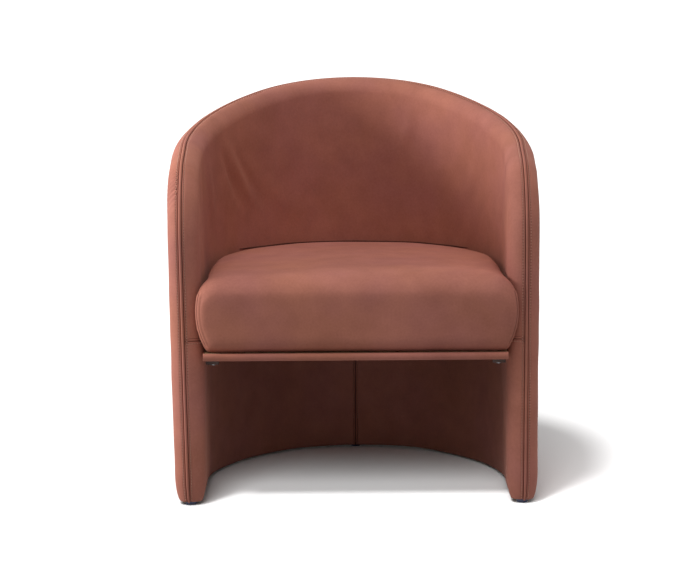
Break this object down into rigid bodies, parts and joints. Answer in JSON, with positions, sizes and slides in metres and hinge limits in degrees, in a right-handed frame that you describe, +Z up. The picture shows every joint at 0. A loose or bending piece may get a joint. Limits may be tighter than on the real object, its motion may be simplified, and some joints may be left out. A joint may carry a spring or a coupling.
{
  "type": "tub armchair",
  "caption": "Leather tub armchair: a padded shell curves round a fixed crowned seat cushion, open in front below the seat, and stands on low glides.",
  "frame": {"origin": "on the floor, under the middle of the chair's overall box", "axes": "+Z up, the sitter faces -Y, +X to the right in a front view"},
  "size_m": [0.706, 0.675, 0.7928],
  "materials": {
    "leather": "matt nubuck",
    "foam": "open-cell foam",
    "plywood": "sanded plywood",
    "beech": "planed beech",
    "stained_beech": "dark stained beech",
    "webbing": "woven elastic",
    "dust_cloth": "non-woven cloth",
    "steel": "zinc plated",
    "insert_brass": "plain",
    "glide_plastic": "satin"
  },
  "bodies": {
    "root": {"outer_cover_left": "leather", "outer_cover_right": "leather", "back_cover": "leather", "lower_cover_left": "leather", "lower_cover_right": "leather", "rim_welt": "leather", "seat_top_cover": "leather", "seat_side_cover_left": "leather", "seat_side_cover_right": "leather", "seat_front_lip": "leather", "outer_padding": "foam", "arm_foam_left": "foam", "arm_foam_right": "foam", "back_foam": "foam", "base_foam_left": "foam", "base_foam_right": "foam", "base_foam_back": "foam", "seat_foam_core": "foam", "seat_foam_topper": "foam", "base_ring": "plywood", "seat_ring": "plywood", "side_panel_left": "plywood", "side_panel_right": "plywood", "back_panel": "plywood", "seat_board": "plywood", "front_post_left": "beech", "front_post_right": "beech", "joint_battens_left": "beech", "joint_battens_right": "beech", "seat_cleat_left": "stained_beech", "seat_cleat_right": "stained_beech", "seat_cleat_back": "stained_beech", "webbing_lengthwise": "webbing", "webbing_crosswise": "webbing", "dust_cover": "dust_cloth", "cleat_screws": "steel", "seat_bolts": "steel", "glide_screws": "steel", "seat_inserts": "insert_brass", "glide_front_left": "glide_plastic", "glide_front_right": "glide_plastic", "glide_side_left": "glide_plastic", "glide_side_right": "glide_plastic", "glide_back": "glide_plastic"}
  },
  "joints": []
}
